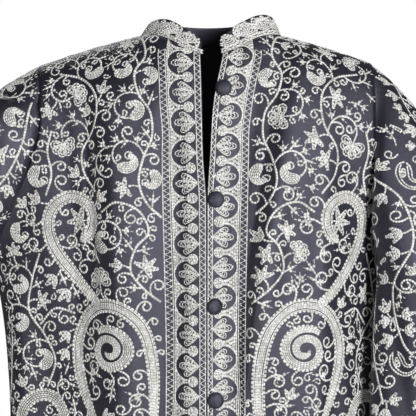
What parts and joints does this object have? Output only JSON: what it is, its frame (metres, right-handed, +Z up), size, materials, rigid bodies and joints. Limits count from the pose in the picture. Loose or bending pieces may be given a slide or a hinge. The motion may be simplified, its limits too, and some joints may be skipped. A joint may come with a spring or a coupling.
{
  "type": "embroidered band-collar jacket",
  "caption": "Hollow worn form of a silk jacket with a band collar, set-in sleeves, a row of covered buttons and all-over chain-stitch embroidery.",
  "frame": {"origin": "middle of the neck opening, level with the inner ends of the shoulder seams, where the wearer's shoulders hold the jacket", "axes": "+Z up towards the wearer's head; the buttoned front faces -Y; -X is the viewer's left, the side named left in the nodes"},
  "size_m": [0.951, 0.1977, 0.7261],
  "materials": {
    "silk": "slub silk, low sheen, cream chain-stitch embroidery",
    "button_silk": "plain slub silk over a dome, low sheen"
  },
  "bodies": {
    "root": {"front_left": "silk", "front_right": "silk", "back": "silk", "collar": "silk", "sleeve_left": "silk", "sleeve_right": "silk", "button_1": "button_silk", "button_2": "button_silk", "button_3": "button_silk", "button_4": "button_silk", "button_5": "button_silk"}
  },
  "joints": []
}
